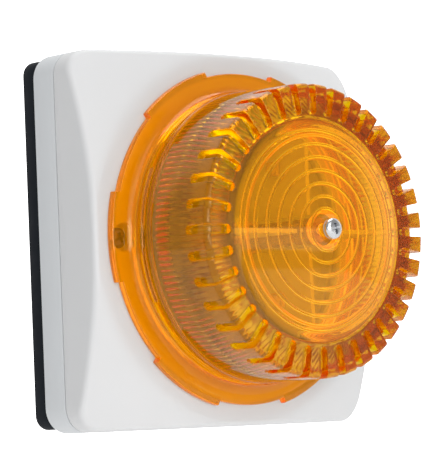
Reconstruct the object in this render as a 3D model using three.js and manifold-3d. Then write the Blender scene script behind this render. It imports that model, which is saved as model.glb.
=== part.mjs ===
// Wall-mounted amber strobe beacon (visual alarm).
//
// Millimetres. World frame: +Z up, the front of the unit faces -Y, the wall
// plane is Y = 0, and the origin is the centre of the plate's back face.
// Everything is drawn in a local frame, x to the right, y up, z = depth out
// from the wall, and one group turns that frame into the world frame.

import * as THREE from 'three';
import { mergeVertices } from 'three/addons/utils/BufferGeometryUtils.js';
import Module from 'manifold-3d';

const wasm = await Module();
wasm.setup();

// ---------------------------------------------------------------------------
// Driving dimensions
// ---------------------------------------------------------------------------
const GAP = 0.3;                 // clearance between two touching pieces
const ROUND = 36;                // facets round the lens and the parts that seat it
const ROUND_SMALL = 12;          // facets round a screw or a boss

const PLATE_SIDE = 136.9;        // wall plate, square
const PLATE_R = 5.5;
const PLATE_D = 7.8;             // its depth out from the wall
const PLATE_WALL = 3.0;

const HOUSING_SIDE = 140;        // both housing halves, square
const HOUSING_R = 9.5;
const HOUSING_WALL = 2.6;
const REAR_D0 = 8.1;             // rear half, from here
const REAR_D1 = 19.8;            // to here
const SEAL_D0 = 20.1;            // cord seal between the halves
const SEAL_D1 = 20.6;
const FRONT_D0 = 20.9;           // front half
const FACE_D = 41.1;             // its flat face, under the lens
// front surface as radius from the axis against depth: flat, then a cone
const FACE_CONE = [[68.6, 41.1], [71.4, 40.4], [77.6, 37.5], [84.9, 33.9], [97, 27.3]];

const WINDOW = { x: 44, y: 28, cy: -22 };   // cable window in plate and rear half

const OPENING_R = 45.8;          // round opening in the front half
const COLLAR_R = 47.6;           // collar that centres the lens
const COLLAR_D = 45.4;
const SEAT_R = 66;               // thick ring under the lens flange
const SEAT_D0 = 33.6;
const GROOVE = [48.7, 51.4];     // seal groove, inner and outer radius
const GROOVE_D = 39.4;

const COVER_SCREW_X = 57.2;      // two screws that hold the front half
const RECESS_R = 5.0;

const LENS_D0 = 41.4;            // lens: underside of the flange
const FLANGE_D = 44.2;
const FLANGE_R = 62.2;
const LOBE_R = 64.2;             // six lobes stand out from the flange
const LOBE_HALF_DEG = 15;
const LENS_R = 54.4;             // outside of the wall at its foot; it draws in to RIM_R
const RIM_R = 53.9;
const RIM_D = 84.0;
const LENS_TOP = 90.0;
const SLOTS = 36;
const SLOT_W = 3.3;
const SLOT = { r0: 42.5, d0: 72.7, floorR: 51.2, floorD: 81.2, bend: 2.4 };   // inner end, lower end, floor on the wall, floor on the rim

const BOARD_D = [18.0, 19.6];    // main circuit board
const BOARD_SIZE = [100, 112];
const BOARD_HOLES = [45, 51];

const UNIT_SCREW = 58;           // four corner screws, rear half to wall plate

const BASE_D = [39.0, 41.0];     // light base under the lens
const BASE_R = 45.3;
const LED_BOARD = { r0: 6.0, r1: 38.5, d0: 46.6, d1: 78.0, t: 1.6 };

const POST_AF = 8;               // hexagonal post on the axis, across flats
const POST_D = [19.9, 81.6];

const LENS_SCREW = { headR: 3.9, headD: [91.1, 93.3], shankR: 2.0, tip: 68 };

// ---------------------------------------------------------------------------
// Helpers
// ---------------------------------------------------------------------------
const rad = (deg) => deg * Math.PI / 180;

// A closed mesh as a manifold solid: position only, shared corners merged,
// triangles that collapse on the axis dropped, faces turned outward.
function solid(geometry) {
  let g = geometry.clone();
  for (const name of Object.keys(g.attributes)) if (name !== 'position') g.deleteAttribute(name);
  g = mergeVertices(g, 1e-4);
  const p = g.getAttribute('position').array;
  const src = g.getIndex().array;
  const tri = [];
  let volume = 0;
  for (let i = 0; i < src.length; i += 3) {
    const [a, b, c] = [src[i], src[i + 1], src[i + 2]];
    if (a === b || b === c || a === c) continue;
    tri.push(a, b, c);
    const [ax, ay, az] = [p[3 * a], p[3 * a + 1], p[3 * a + 2]];
    const [bx, by, bz] = [p[3 * b], p[3 * b + 1], p[3 * b + 2]];
    const [cx, cy, cz] = [p[3 * c], p[3 * c + 1], p[3 * c + 2]];
    volume += ax * (by * cz - bz * cy) + ay * (bz * cx - bx * cz) + az * (bx * cy - by * cx);
  }
  if (volume < 0) for (let i = 0; i < tri.length; i += 3) [tri[i], tri[i + 1]] = [tri[i + 1], tri[i]];
  return new wasm.Manifold(new wasm.Mesh({
    numProp: 3,
    vertProperties: new Float32Array(p),
    triVerts: new Uint32Array(tri),
  }));
}

function toGeometry(manifold) {
  const m = manifold.getMesh();
  const g = new THREE.BufferGeometry();
  const n = m.numProp;
  const v = new Float32Array(m.vertProperties.length / n * 3);
  for (let i = 0; i < v.length / 3; i++) for (let k = 0; k < 3; k++) v[3 * i + k] = m.vertProperties[n * i + k];
  g.setAttribute('position', new THREE.BufferAttribute(v, 3));
  g.setIndex(new THREE.BufferAttribute(new Uint32Array(m.triVerts), 1));
  g.computeVertexNormals();
  return g;
}

// Rounded rectangle centred on (cx, cy).
function roundedRect(w, h, r, cx = 0, cy = 0) {
  const s = new THREE.Shape();
  const [x0, x1, y0, y1] = [cx - w / 2, cx + w / 2, cy - h / 2, cy + h / 2];
  s.moveTo(x0 + r, y0);
  s.lineTo(x1 - r, y0);
  s.absarc(x1 - r, y0 + r, r, -Math.PI / 2, 0, false);
  s.lineTo(x1, y1 - r);
  s.absarc(x1 - r, y1 - r, r, 0, Math.PI / 2, false);
  s.lineTo(x0 + r, y1);
  s.absarc(x0 + r, y1 - r, r, Math.PI / 2, Math.PI, false);
  s.lineTo(x0, y0 + r);
  s.absarc(x0 + r, y0 + r, r, Math.PI, 1.5 * Math.PI, false);
  return s;
}

// A shape extruded from depth d0 to depth d1.
function prism(shape, d0, d1, curveSegments = 4) {
  const g = new THREE.ExtrudeGeometry(shape, { depth: d1 - d0, bevelEnabled: false, curveSegments });
  g.translate(0, 0, d0);
  return solid(g);
}

const block = (w, h, d0, d1, cx = 0, cy = 0) => {
  const g = new THREE.BoxGeometry(w, h, d1 - d0);
  g.translate(cx, cy, (d0 + d1) / 2);
  return solid(g);
};

// A cylinder along the depth axis.
const rod = (r, d0, d1, cx = 0, cy = 0, segments = ROUND_SMALL, rTop = r) => {
  const g = new THREE.CylinderGeometry(rTop, r, d1 - d0, segments);
  g.rotateX(Math.PI / 2);
  g.translate(cx, cy, (d0 + d1) / 2);
  return solid(g);
};

// A profile of [radius, depth] points turned about the depth axis.
function turned(profile, segments, closed = false) {
  const pts = profile.map(([r, d]) => new THREE.Vector2(r, d));
  if (closed) pts.push(pts[0].clone());
  const g = new THREE.LatheGeometry(pts, segments);
  g.rotateX(Math.PI / 2);
  return solid(g);
}

const ringOf = (r0, r1, d0, d1, segments) => turned([[r0, d0], [r1, d0], [r1, d1], [r0, d1]], segments, true);

const union = (list) => list.reduce((a, b) => a.add(b));
const cut = (body, ...tools) => tools.reduce((a, b) => a.subtract(b), body);

// A straight slot with round ends, from depth d0 to d1.
function slotTool(length, width, d0, d1, cx, cy, vertical) {
  const w = vertical ? width : length;
  const h = vertical ? length : width;
  return prism(roundedRect(w, h, width / 2 - 0.001, cx, cy), d0, d1, 3);
}

const beacon = new THREE.Group();
const unit = new THREE.Group();
unit.rotation.x = Math.PI / 2;       // depth out from the wall becomes -Y, up becomes +Z
beacon.add(unit);

function put(name, shape, material, group = unit) {
  const geometry = shape.getMesh ? toGeometry(shape) : shape;
  const mesh = new THREE.Mesh(geometry, new THREE.MeshStandardMaterial(material));
  mesh.name = name;
  group.add(mesh);
  return mesh;
}

// ---------------------------------------------------------------------------
// Materials
// ---------------------------------------------------------------------------
const WHITE = { color: 0xe2e3e4, roughness: 0.45, metalness: 0 };
const LIGHT_GREY = { color: 0xd2d5d7, roughness: 0.45, metalness: 0 };
const SLATE = { color: 0x2a2d33, roughness: 0.6, metalness: 0 };
const AMBER = { color: 0xff8a00, roughness: 0.12, metalness: 0, transparent: true, opacity: 0.6 };
const SEAL = { color: 0x1d1e20, roughness: 0.85, metalness: 0 };
const SILICONE = { color: 0xd0ccc6, roughness: 0.7, metalness: 0 };
const STEEL = { color: 0xc4c6c8, roughness: 0.3, metalness: 1 };
const BRASS = { color: 0xc9a24a, roughness: 0.35, metalness: 1 };
const BOARD_GREEN = { color: 0x1e5a33, roughness: 0.5, metalness: 0 };
const BOARD_WHITE = { color: 0xf1efe8, roughness: 0.5, metalness: 0 };
const BLACK = { color: 0x18181a, roughness: 0.55, metalness: 0 };
const REFLECTOR = { color: 0xf0eee9, roughness: 0.35, metalness: 0 };
const LED_BODY = { color: 0xf3d36a, roughness: 0.3, metalness: 0 };
const TERMINAL_GREEN = { color: 0x2f8f4e, roughness: 0.5, metalness: 0 };
const CAN = { color: 0x23262e, roughness: 0.4, metalness: 0.1 };
const RELAY_BLUE = { color: 0x2b55a3, roughness: 0.45, metalness: 0 };
const COPPER = { color: 0xb06a35, roughness: 0.4, metalness: 0.8 };
const BUTTON = { color: 0x2c2c2e, roughness: 0.5, metalness: 0 };

// ---------------------------------------------------------------------------
// Wall plate: a shallow tray, open to the front
// ---------------------------------------------------------------------------
{
  const inner = PLATE_SIDE - 2 * 3.2;
  let plate = cut(
    prism(roundedRect(PLATE_SIDE, PLATE_SIDE, PLATE_R), 0, PLATE_D),
    prism(roundedRect(inner, inner, PLATE_R - 2.5), PLATE_WALL, PLATE_D + 1),
  );
  const ribs = [
    block(2.4, inner + 1, PLATE_WALL - 0.5, PLATE_D - 1, 40),
    block(2.4, inner + 1, PLATE_WALL - 0.5, PLATE_D - 1, -40),
  ];
  const bosses = [];
  const pilots = [];
  for (const sx of [-1, 1]) for (const sy of [-1, 1]) {
    bosses.push(rod(5, PLATE_WALL - 0.5, PLATE_D, sx * UNIT_SCREW, sy * UNIT_SCREW));
    pilots.push(rod(2.35, 1.2, PLATE_D + 1, sx * UNIT_SCREW, sy * UNIT_SCREW));
  }
  plate = union([plate, ...ribs, ...bosses]);
  plate = cut(plate, ...pilots,
    prism(roundedRect(WINDOW.x, WINDOW.y, 3, 0, WINDOW.cy), -1, PLATE_D + 1, 4),
    slotTool(9, 4.6, -1, PLATE_D + 1, 0, 41.65, true),
    slotTool(9, 4.6, -1, PLATE_D + 1, 0, -42.5, true),
    slotTool(9, 4.6, -1, PLATE_D + 1, 30.15, 0, false),
    slotTool(9, 4.6, -1, PLATE_D + 1, -30.15, 0, false),
  );
  put('wall_plate', plate, SLATE);
}

// ---------------------------------------------------------------------------
// Rear housing half
// ---------------------------------------------------------------------------
{
  const inner = HOUSING_SIDE - 2 * HOUSING_WALL;
  let rear = cut(
    prism(roundedRect(HOUSING_SIDE, HOUSING_SIDE, HOUSING_R), REAR_D0, REAR_D1),
    prism(roundedRect(inner, inner, HOUSING_R - HOUSING_WALL), REAR_D0 + HOUSING_WALL, REAR_D1 + 1),
  );
  const add = [];
  const holes = [];
  for (const sx of [-1, 1]) {
    add.push(rod(4.6, REAR_D0 + 1, 33.2, sx * COVER_SCREW_X, 0, 16, 4.3));
    holes.push(rod(2.35, 14, 34, sx * COVER_SCREW_X, 0));
    for (const sy of [-1, 1]) {
      add.push(rod(3.6, REAR_D0 + 1, BOARD_D[0] - GAP, sx * BOARD_HOLES[0], sy * BOARD_HOLES[1]));
      holes.push(rod(1.85, 11, BOARD_D[0] + 1, sx * BOARD_HOLES[0], sy * BOARD_HOLES[1]));
      holes.push(rod(2.35, REAR_D0 - 1, REAR_D0 + HOUSING_WALL + 1, sx * UNIT_SCREW, sy * UNIT_SCREW));
    }
  }
  rear = union([rear, ...add]);
  rear = cut(rear, ...holes, prism(roundedRect(WINDOW.x, WINDOW.y, 3, 0, WINDOW.cy), REAR_D0 - 1, REAR_D0 + HOUSING_WALL + 1, 4));
  put('rear_housing', rear, LIGHT_GREY);
}

// Cord seal between the halves, set a little in from the outside.
put('housing_seal', cut(
  prism(roundedRect(HOUSING_SIDE - 1, HOUSING_SIDE - 1, HOUSING_R - 0.5), SEAL_D0, SEAL_D1),
  prism(roundedRect(HOUSING_SIDE - 4.6, HOUSING_SIDE - 4.6, HOUSING_R - 2.3), SEAL_D0 - 1, SEAL_D1 + 1),
), SEAL);

// ---------------------------------------------------------------------------
// Front housing half: square shell whose front falls away as a cone
// ---------------------------------------------------------------------------
{
  const seg = ROUND;
  const coneSolid = (drop, back) => turned(
    [[0, back], [110, back], [110, 20], ...FACE_CONE.map(([r, d]) => [r - drop * 0.35, d - drop]).reverse(), [0, FACE_D - drop]], seg);
  const outer = prism(roundedRect(HOUSING_SIDE, HOUSING_SIDE, HOUSING_R), FRONT_D0, FACE_D + 5).intersect(coneSolid(0, FRONT_D0 - 5));
  const innerSide = HOUSING_SIDE - 2 * HOUSING_WALL;
  const inner = prism(roundedRect(innerSide, innerSide, HOUSING_R - HOUSING_WALL), FRONT_D0 - 1, FACE_D + 5)
    .intersect(coneSolid(HOUSING_WALL, FRONT_D0 - 6));
  let front = outer.subtract(inner);
  front = front.add(ringOf(OPENING_R, SEAT_R, SEAT_D0, FACE_D, ROUND));
  front = front.add(ringOf(OPENING_R, COLLAR_R, SEAT_D0, COLLAR_D, ROUND));
  front = cut(front,
    rod(OPENING_R, 30, 50, 0, 0, ROUND),
    ringOf(GROOVE[0], GROOVE[1], GROOVE_D, FACE_D + 1, ROUND),
  );
  for (const sx of [-1, 1]) front = cut(front,
    rod(RECESS_R, 36.4, FACE_D + 1, sx * COVER_SCREW_X, 0, 16),
    rod(2.35, 30, 37, sx * COVER_SCREW_X, 0),
  );
  put('front_housing', front, WHITE);
}

put('lens_seal', ringOf(GROOVE[0] + GAP, GROOVE[1] - GAP, GROOVE_D + GAP, FACE_D, ROUND), SILICONE);

// ---------------------------------------------------------------------------
// Screws
// ---------------------------------------------------------------------------
// Pan head with a cross recess, on a plain shank. The head points to depth
// "top"; a negative direction turns the screw round.
function screw({ headR, headH, shankR, length, recess = false, segments = ROUND_SMALL }) {
  const dome = [[0, headH], [headR * 0.62, headH * 0.92], [headR, headH * 0.45], [headR, 0], [shankR, 0], [shankR, -length + 0.8], [shankR * 0.55, -length], [0, -length]];
  let body = turned(dome, segments);
  if (recess) {
    const w = headR * 0.28;
    const l = headR * 1.15;
    body = cut(body, block(l, w, headH * 0.35, headH + 1), block(w, l, headH * 0.35, headH + 1));
  }
  return body;
}
const place = (body, x, y, d, flip = false) => {
  const turnedBody = flip ? body.rotate([180, 0, 0]) : body;
  return turnedBody.translate([x, y, d]);
};

put('cover_screw_left', place(screw({ headR: 3.7, headH: 2.3, shankR: 2.0, length: 21, recess: true }), -COVER_SCREW_X, 0, 36.7), STEEL);
put('cover_screw_right', place(screw({ headR: 3.7, headH: 2.3, shankR: 2.0, length: 21, recess: true }), COVER_SCREW_X, 0, 36.7), STEEL);

{
  const names = { '-1-1': 'unit_screw_lower_left', '-11': 'unit_screw_upper_left', '1-1': 'unit_screw_lower_right', '11': 'unit_screw_upper_right' };
  const boardNames = { '-1-1': 'board_screw_lower_left', '-11': 'board_screw_upper_left', '1-1': 'board_screw_lower_right', '11': 'board_screw_upper_right' };
  for (const sx of [-1, 1]) for (const sy of [-1, 1]) {
    put(names[`${sx}${sy}`], place(screw({ headR: 3.6, headH: 2.2, shankR: 2.0, length: 9 }), sx * UNIT_SCREW, sy * UNIT_SCREW, REAR_D0 + HOUSING_WALL + GAP), STEEL);
    put(boardNames[`${sx}${sy}`], place(screw({ headR: 2.8, headH: 1.9, shankR: 1.5, length: 7 }), sx * BOARD_HOLES[0], sy * BOARD_HOLES[1], BOARD_D[1] + GAP), STEEL);
  }
}

// ---------------------------------------------------------------------------
// Main circuit board and what is on it
// ---------------------------------------------------------------------------
{
  let board = prism(roundedRect(BOARD_SIZE[0], BOARD_SIZE[1], 3), BOARD_D[0], BOARD_D[1], 3);
  const holes = [rod(2.35, 17, 21, 0, 0)];
  for (const sx of [-1, 1]) for (const sy of [-1, 1]) holes.push(rod(1.85, 17, 21, sx * BOARD_HOLES[0], sy * BOARD_HOLES[1]));
  // edge notches that clear the two tall screw bosses
  for (const sx of [-1, 1]) holes.push(rod(8.5, 17, 21, sx * COVER_SCREW_X, 0));
  put('main_board', cut(board, ...holes), BOARD_GREEN);
}

const BACK = BOARD_D[0] - GAP;      // parts on the back of the board hang from here
const TOP = BOARD_D[1] + GAP;       // parts on its front stand from here

// Network jack: faces the wall through the cable window
put('network_jack', cut(
  block(16, 16, 4.4, BACK, -11, -22),
  block(11.8, 8.2, 3, 16, -11, -22.6),
  block(6, 3, 3, 16, -11, -17.3),
), BLACK);

// Two-pole terminal block, wire entries below, screws facing the wall
{
  let t = block(10.2, 8, 8.2, BACK, 8.5, -24);
  const cuts = [];
  for (const x of [5.96, 11.04]) {
    const hole = new THREE.CylinderGeometry(1.3, 1.3, 5, 8);
    hole.translate(x, -26.5, 14.3);
    cuts.push(solid(hole));
    cuts.push(rod(2.0, 7, 11.2, x, -23.6));
  }
  put('terminal_block', cut(t, ...cuts), TERMINAL_GREEN);
  const tscrew = (x) => {
    let s = rod(1.6, 9.0, 10.9, x, -23.6);
    return s.subtract(block(4, 0.5, 8, 9.6, x, -23.6));
  };
  put('terminal_screw_left', tscrew(5.96), STEEL);
  put('terminal_screw_right', tscrew(11.04), STEEL);
}

// Reset switch: body and the plunger that travels in it
put('reset_switch', cut(
  block(6, 6, 14.2, BACK, 17.3, -13),
  rod(2.15, 13, 16.4, 17.3, -13, 16),
), BLACK);
put('reset_button', turned([[0, 9.4], [1.5, 9.4], [1.7, 9.7], [1.7, 15.4], [0, 15.4]], 16).translate([17.3, -13, 0]), BUTTON);

put('processor', block(14, 14, TOP, TOP + 1.4, 26, 32), BLACK);
put('transformer', union([block(24, 17, TOP, TOP + 2.2, -27, -33), block(20, 9, TOP + 2.0, TOP + 13, -27, -33), block(14, 15, TOP + 2.0, TOP + 12, -27, -33)]), CAN);
put('relay', block(19, 15.4, TOP, TOP + 11, 27, -34), RELAY_BLUE);
put('capacitor_large', turned([[0, TOP], [5.2, TOP], [5.2, TOP + 15.2], [4.6, TOP + 15.8], [0, TOP + 15.8]], 16).translate([-28, 24, 0]), CAN);
put('capacitor_small', turned([[0, TOP], [3.3, TOP], [3.3, TOP + 10.4], [2.8, TOP + 11], [0, TOP + 11]], ROUND_SMALL).translate([-14, 32, 0]), CAN);
put('inductor', turned([[0, TOP], [6, TOP], [6, TOP + 1.2], [4.4, TOP + 1.6], [4.4, TOP + 6.4], [6, TOP + 6.8], [6, TOP + 8], [0, TOP + 8]], ROUND_SMALL).translate([6, 42, 0]), COPPER);

// ---------------------------------------------------------------------------
// Light engine: white base, hexagonal post, four LED boards in a cross
// ---------------------------------------------------------------------------
{
  let base = turned([[5.2, BASE_D[0]], [BASE_R, BASE_D[0]], [BASE_R, 43.6], [43.6, 43.6], [42.4, BASE_D[1]], [5.2, BASE_D[1]]], ROUND, true);
  const legs = [];
  for (const sx of [-1, 1]) for (const sy of [-1, 1]) legs.push(rod(3, TOP, BASE_D[0] + 1, sx * 25, sy * 13, 8));
  put('light_base', union([base, ...legs]), REFLECTOR);
}
{
  const hex = new THREE.CylinderGeometry(POST_AF / Math.sqrt(3), POST_AF / Math.sqrt(3), POST_D[1] - POST_D[0], 6);
  hex.rotateX(Math.PI / 2);
  hex.translate(0, 0, (POST_D[0] + POST_D[1]) / 2);
  put('lens_post', cut(
    union([solid(hex), rod(7.4, BASE_D[1] + GAP, BASE_D[1] + GAP + 1.6, 0, 0, 16)]),
    rod(2.35, 65, 83, 0, 0, 16),
    rod(2.35, 19, 29, 0, 0),
  ), BRASS);
}
put('post_screw', place(screw({ headR: 3.6, headH: 2.2, shankR: 2.0, length: 10 }), 0, 0, BACK, true), STEEL);

{
  const names = ['right', 'top', 'left', 'bottom'];
  for (let i = 0; i < 4; i++) {
    const arm = new THREE.Group();
    arm.rotation.z = i * Math.PI / 2;
    unit.add(arm);
    const { r0, r1, d0, d1, t } = LED_BOARD;
    // in the arm's frame the board lies in the x-z plane
    const outline = new THREE.Shape();
    outline.moveTo(r0, d0);
    outline.lineTo(r1 - 1, d0);
    outline.lineTo(r1 - 1, d0 + 3);
    outline.lineTo(r1, d0 + 3);
    outline.lineTo(r1, 68);
    outline.lineTo(r1 - 5.5, d1);
    outline.lineTo(r0, d1);
    const g = new THREE.ExtrudeGeometry(outline, { depth: t, bevelEnabled: false });
    g.translate(0, 0, -t / 2);
    g.rotateX(Math.PI / 2);
    put(`led_board_${names[i]}`, toGeometry(solid(g)), BOARD_WHITE, arm);
    put(`led_connector_${names[i]}`, toGeometry(cut(
      block(18, 5.6, BASE_D[1] + GAP, d0 - GAP, 24, 0),
      block(15.6, 2.2, d0 - 3.2, d0 + 1, 24, 0),
    )), REFLECTOR, arm);
    // one LED package on each face, dome outward
    for (const side of [-1, 1]) {
      const dome = new THREE.SphereGeometry(2.2, 8, 6);
      const s = union([solid(dome), block(5.2, 5.2, -1.4, 0.3)]).intersect(block(6, 6, -1.4, 4));
      const led = put(`led_${names[i]}_${side < 0 ? 'a' : 'b'}`, toGeometry(s), LED_BODY, arm);
      led.rotation.x = side < 0 ? Math.PI / 2 : -Math.PI / 2;
      led.position.set(24, side * -(t / 2 + GAP + 1.4) * -1, 62);
    }
  }
}

// ---------------------------------------------------------------------------
// Lens: flange with six lobes, plain wall, slotted rim, domed face
// ---------------------------------------------------------------------------
{
  let lens = turned([
    [48.9, LENS_D0], [FLANGE_R, LENS_D0], [FLANGE_R, FLANGE_D], [57.2, FLANGE_D], [55.2, 45.2], [LENS_R, 47.0],
    [RIM_R, 82.6], [52.5, RIM_D], [44, RIM_D], [36, 85.4], [22, 88.2], [8, 89.9], [2.35, LENS_TOP],
    [2.35, 82.4], [6, 82.4], [6, 86.7], [22, 84.9], [36, 81.7], [41.8, 80.6],
    [51.2, 63], [51.2, 45.2], [48.9, 43.6],
  ], ROUND, true);
  const lobes = [];
  for (let i = 0; i < 6; i++) {
    const a = rad(60 * i - LOBE_HALF_DEG);
    const b = rad(60 * i + LOBE_HALF_DEG);
    const s = new THREE.Shape();
    s.absarc(0, 0, LOBE_R, a, b, false);
    s.lineTo(60 * Math.cos(b), 60 * Math.sin(b));
    s.lineTo(60 * Math.cos(a), 60 * Math.sin(a));
    lobes.push(prism(s, LENS_D0, FLANGE_D, 3));
  }
  // one slot tool, in the radius-depth plane, copied round the rim
  const { r0, d0, floorR, floorD, bend } = SLOT;
  const section = new THREE.Shape();
  section.moveTo(r0, 90);
  section.lineTo(r0, floorD);
  section.lineTo(floorR - bend, floorD);
  for (let i = 1; i <= 3; i++) {
    const a = rad(90 - 30 * i);
    section.lineTo(floorR - bend + bend * Math.cos(a), floorD - bend + bend * Math.sin(a));
  }
  section.lineTo(floorR, d0);
  section.lineTo(60, d0);
  section.lineTo(60, 90);
  const tools = [];
  for (let i = 0; i < SLOTS; i++) {
    const g = new THREE.ExtrudeGeometry(section, { depth: SLOT_W, bevelEnabled: false });
    g.translate(0, 0, -SLOT_W / 2);
    g.rotateX(Math.PI / 2);
    g.rotateZ(rad(i * 360 / SLOTS));
    tools.push(solid(g));
  }
  lens = union([lens, ...lobes]);
  for (const t of tools) lens = lens.subtract(t);
  put('lens', lens, AMBER);
}

put('lens_screw_washer', ringOf(2.35, 3.7, LENS_TOP + GAP, LENS_TOP + GAP + 0.5, 16), SILICONE);
put('lens_screw', place(screw({
  headR: LENS_SCREW.headR, headH: LENS_SCREW.headD[1] - LENS_SCREW.headD[0], shankR: LENS_SCREW.shankR,
  length: LENS_SCREW.headD[0] - LENS_SCREW.tip, recess: true, segments: 16,
}), 0, 0, LENS_SCREW.headD[0]), STEEL);

export default beacon;
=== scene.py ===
import math

import bmesh
import bpy
import numpy as np
from mathutils import Matrix, Vector


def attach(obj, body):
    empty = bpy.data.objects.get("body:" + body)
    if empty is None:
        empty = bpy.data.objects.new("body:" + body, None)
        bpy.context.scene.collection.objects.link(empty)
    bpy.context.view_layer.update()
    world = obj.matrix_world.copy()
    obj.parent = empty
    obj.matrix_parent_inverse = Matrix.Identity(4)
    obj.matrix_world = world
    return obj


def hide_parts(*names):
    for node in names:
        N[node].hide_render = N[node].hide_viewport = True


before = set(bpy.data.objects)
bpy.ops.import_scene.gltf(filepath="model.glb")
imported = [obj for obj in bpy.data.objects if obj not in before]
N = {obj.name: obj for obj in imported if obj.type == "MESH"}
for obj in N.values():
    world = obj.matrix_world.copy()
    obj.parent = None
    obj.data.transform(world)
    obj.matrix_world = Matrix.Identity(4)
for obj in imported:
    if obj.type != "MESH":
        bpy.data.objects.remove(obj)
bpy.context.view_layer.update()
SC = bpy.context.scene
MM = 0.001
# light is guided a long way inside the thick clear rim
SC.cycles.max_bounces = 32
SC.cycles.glossy_bounces = 16
SC.cycles.transmission_bounces = 32

# ---------------------------------------------------------------------------
# Camera
# ---------------------------------------------------------------------------
AZ, EL, ROLL = -41.12, -3.81, -2.39          # degrees
DIST, OX, OZ = 993.37, 12.17, -1.28          # mm
FOCAL_PX = 2652.01


def make_camera():
    a, e, r = map(math.radians, (AZ, EL, ROLL))
    back = Vector((math.sin(a) * math.cos(e), -math.cos(a) * math.cos(e), math.sin(e)))
    fwd = -back
    right = fwd.cross(Vector((0, 0, 1))).normalized()
    up = right.cross(fwd)
    r2 = right * math.cos(r) + up * math.sin(r)
    u2 = -right * math.sin(r) + up * math.cos(r)
    pos = (Vector((0, -45, 0)) + back * DIST - r2 * OX - u2 * OZ) * MM
    cam = bpy.data.cameras.new("camera")
    cam.sensor_fit = "VERTICAL"
    cam.sensor_height = 36.0
    cam.lens = FOCAL_PX / 470 * 36.0
    cam.clip_start = 0.01
    cam.clip_end = 50
    ob = bpy.data.objects.new("camera", cam)
    ob.matrix_world = Matrix((
        (r2.x, u2.x, back.x, pos.x),
        (r2.y, u2.y, back.y, pos.y),
        (r2.z, u2.z, back.z, pos.z),
        (0, 0, 0, 1),
    ))
    SC.collection.objects.link(ob)
    SC.camera = ob
    return ob


make_camera()

# ---------------------------------------------------------------------------
# Mesh helpers. Local design frame: x right, y up, d = depth out of the wall,
# in millimetres; the object's frame is (x, -d, y) in metres.
# ---------------------------------------------------------------------------


def to_world(p):
    p = np.asarray(p, dtype=float)
    return np.stack([p[..., 0], -p[..., 2], p[..., 1]], axis=-1) * MM


def new_object(name, verts, faces, body, material, smooth=True, sharp=None, replaces=()):
    """verts in the local frame, mm."""
    me = bpy.data.meshes.new(name)
    me.from_pydata(to_world(np.asarray(verts)).tolist(), [], [list(map(int, f)) for f in faces])
    me.update()
    ob = bpy.data.objects.new(name, me)
    SC.collection.objects.link(ob)
    finish_piece(ob, body, material, smooth, sharp, replaces)
    return ob


def outward(me):
    bm = bmesh.new()
    bm.from_mesh(me)
    if bm.calc_volume(signed=True) < 0:
        bmesh.ops.reverse_faces(bm, faces=bm.faces[:])
        bm.to_mesh(me)
    bm.free()


def finish_piece(ob, body, material, smooth=True, sharp=None, replaces=()):
    me = ob.data
    # cutting leaves a few faces of no area
    bm = bmesh.new()
    bm.from_mesh(me)
    bmesh.ops.remove_doubles(bm, verts=bm.verts, dist=2e-6)
    bmesh.ops.triangulate(bm, faces=[f for f in bm.faces if len(f.verts) > 4])
    bmesh.ops.dissolve_degenerate(bm, edges=bm.edges, dist=2e-6)
    bm.to_mesh(me)
    bm.free()
    outward(me)
    for p in me.polygons:
        p.use_smooth = smooth
    if sharp is not None:
        me.set_sharp_from_angle(angle=math.radians(sharp))
    me.materials.clear()
    me.materials.append(material)
    if body:
        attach(ob, body)
    if replaces:
        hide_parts(*replaces)


def torus_faces(n, m, flip=False):
    """Quads of a grid of n stations by m points, closed both ways."""
    i = np.repeat(np.arange(n), m)
    j = np.tile(np.arange(m), n)
    i2, j2 = (i + 1) % n, (j + 1) % m
    f = np.stack([i * m + j, i2 * m + j, i2 * m + j2, i * m + j2], axis=1)
    return f[:, ::-1] if flip else f


def revolve_closed(profile, n=96):
    """A closed profile [(r, d)...] off the axis, turned: a ring."""
    pr = np.asarray(profile, float)
    t = np.linspace(0, 2 * math.pi, n, endpoint=False)
    v = np.zeros((n, len(pr), 3))
    v[..., 0] = np.cos(t)[:, None] * pr[None, :, 0]
    v[..., 1] = np.sin(t)[:, None] * pr[None, :, 0]
    v[..., 2] = pr[None, :, 1]
    return v.reshape(-1, 3), torus_faces(n, len(pr))


def revolve_axis(profile, n=64):
    """A profile that starts and ends on the axis, turned: a closed body."""
    pr = np.asarray(profile, float)
    inner = pr[1:-1]
    m = len(inner)
    t = np.linspace(0, 2 * math.pi, n, endpoint=False)
    v = np.zeros((n, m, 3))
    v[..., 0] = np.cos(t)[:, None] * inner[None, :, 0]
    v[..., 1] = np.sin(t)[:, None] * inner[None, :, 0]
    v[..., 2] = inner[None, :, 1]
    verts = np.concatenate([v.reshape(-1, 3), [[0, 0, pr[0, 1]], [0, 0, pr[-1, 1]]]])
    faces = []
    for i in range(n):
        k = (i + 1) % n
        for j in range(m - 1):
            faces.append((i * m + j, k * m + j, k * m + j + 1, i * m + j + 1))
        faces.append((n * m, k * m, i * m))
        faces.append((n * m + 1, i * m + m - 1, k * m + m - 1))
    return verts, faces


def arc(cx, cy, r, a0, a1, n):
    """n + 1 points on an arc, degrees."""
    return [(cx + r * math.cos(math.radians(a0 + (a1 - a0) * k / n)), cy + r * math.sin(math.radians(a0 + (a1 - a0) * k / n))) for k in range(n + 1)]


# ---------------------------------------------------------------------------
# Materials
# ---------------------------------------------------------------------------


def new_material(name):
    m = bpy.data.materials.new(name)
    m.use_nodes = True
    nt = m.node_tree
    for n in list(nt.nodes):
        nt.nodes.remove(n)
    out = nt.nodes.new("ShaderNodeOutputMaterial")
    p = nt.nodes.new("ShaderNodeBsdfPrincipled")
    nt.links.new(p.outputs["BSDF"], out.inputs["Surface"])
    return m, nt, p, out


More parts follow.
